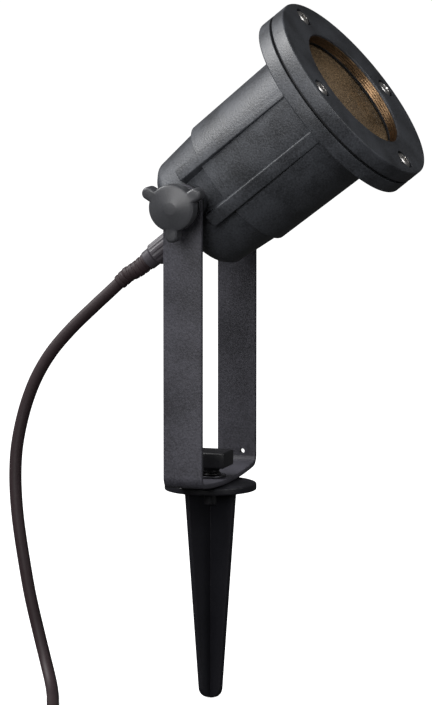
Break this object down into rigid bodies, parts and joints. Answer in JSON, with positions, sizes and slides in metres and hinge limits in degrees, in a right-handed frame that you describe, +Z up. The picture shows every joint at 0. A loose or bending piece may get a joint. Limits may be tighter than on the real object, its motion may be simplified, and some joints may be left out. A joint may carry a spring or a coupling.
{
  "type": "ground spike spotlight",
  "caption": "Garden spotlight on a ground spike: a round metal lamp head tilts in a U-bracket that swivels on the spike, clamped by lobed knobs, with a mains lead.",
  "frame": {"origin": "centre of the underside of the spike's collar, at soil level", "axes": "+Z up along the spike, +Y along the head's tilt axis towards the far arm, +X the way the lamp head points"},
  "size_m": [0.3009, 0.1863, 0.3496],
  "materials": {
    "casting_coat": "fine-textured graphite powder coat on die-cast aluminium",
    "bracket_coat": "fine-textured graphite powder coat on steel strip",
    "spike_plastic": "moulded satin black plastic",
    "knob_plastic": "moulded satin dark grey plastic",
    "clamp_plastic": "moulded satin dark plastic head on a steel screw",
    "gasket_rubber": "matt black rubber",
    "window_glass": "clear toughened glass",
    "screw_steel": "bright stainless steel",
    "washer_steel": "black zinc-plated steel",
    "reflector_metal": "warm satin anodised aluminium",
    "lamp_mirror": "metallised lamp reflector",
    "lamp_glass": "pressed clear glass",
    "lamp_ceramic": "unglazed white ceramic",
    "strap_steel": "plain pressed steel",
    "terminal_plastic": "moulded natural plastic",
    "lead_brown": "brown wire insulation",
    "lead_blue": "blue wire insulation",
    "lead_green": "green and yellow wire insulation",
    "lead_white": "white glass-fibre sleeved wire",
    "brass_contact": "plain brass",
    "gland_plastic": "moulded satin grey-black plastic",
    "sheath_rubber": "matt brown-black rubber cable sheath",
    "tie_plastic": "black plastic tie",
    "plug_rubber": "moulded matt black rubber",
    "pin_nickel": "nickel-plated brass"
  },
  "bodies": {
    "stake": {"ground_spike": "spike_plastic"},
    "bracket": {"u_bracket": "bracket_coat", "clamp_washer": "washer_steel", "near_arm_washer": "washer_steel", "far_arm_washer": "washer_steel", "power_cord": "sheath_rubber", "cord_coil": "sheath_rubber", "cord_tail": "sheath_rubber", "cord_tie": "tie_plastic", "plug_body": "plug_rubber", "plug_pin_1": "pin_nickel", "plug_pin_2": "pin_nickel", "plug_earth_clip_1": "brass_contact", "plug_earth_clip_2": "brass_contact"},
    "clamp": {"clamp_screw": "clamp_plastic"},
    "near_knob": {"near_knob": "knob_plastic", "near_stud": "washer_steel"},
    "far_knob": {"far_knob": "knob_plastic", "far_stud": "washer_steel"},
    "head": {"housing": "casting_coat", "front_bezel": "casting_coat", "flange_gasket": "gasket_rubber", "glass_gasket": "gasket_rubber", "lens_glass": "window_glass", "reflector_cone": "reflector_metal", "lamp_shell": "lamp_mirror", "lamp_front": "lamp_glass", "lamp_base": "lamp_ceramic", "lamp_pin_1": "pin_nickel", "lamp_pin_2": "pin_nickel", "lamp_holder": "lamp_ceramic", "holder_strap": "strap_steel", "holder_screw_1": "screw_steel", "holder_screw_2": "screw_steel", "terminal_block": "terminal_plastic", "lead_live": "lead_brown", "lead_neutral": "lead_blue", "lead_earth": "lead_green", "lamp_lead_1": "lead_white", "lamp_lead_2": "lead_white", "earth_screw": "brass_contact", "gland_body": "gland_plastic", "gland_lock_nut": "gland_plastic", "gland_nut": "gland_plastic", "gland_seal": "gasket_rubber", "lead_inner": "sheath_rubber", "cord_sleeve": "sheath_rubber", "bezel_screw_1": "screw_steel", "bezel_screw_2": "screw_steel", "bezel_screw_3": "screw_steel", "bezel_screw_4": "screw_steel", "near_friction_washer": "gasket_rubber", "far_friction_washer": "gasket_rubber"}
  },
  "joints": [
    {"name": "bracket_swivel", "type": "hinge", "parent": "stake", "child": "bracket", "pos_m": [0, 0, 0], "axis": [0, 0, 1], "range_deg": [-180, 180]},
    {"name": "clamp_screw_turn", "type": "hinge", "parent": "bracket", "child": "clamp", "pos_m": [0, 0, 0.005], "axis": [0, 0, 1], "range_deg": [0, 360]},
    {"name": "head_tilt", "type": "hinge", "parent": "bracket", "child": "head", "pos_m": [0, 0, 0.1465], "axis": [0, -1, 0], "range_deg": [-98, 111]},
    {"name": "near_knob_turn", "type": "hinge", "parent": "head", "child": "near_knob", "pos_m": [0, -0.055, 0.1465], "axis": [0, -1, 0], "range_deg": [0, 360]},
    {"name": "far_knob_turn", "type": "hinge", "parent": "head", "child": "far_knob", "pos_m": [0, 0.055, 0.1465], "axis": [0, 1, 0], "range_deg": [0, 360]}
  ]
}
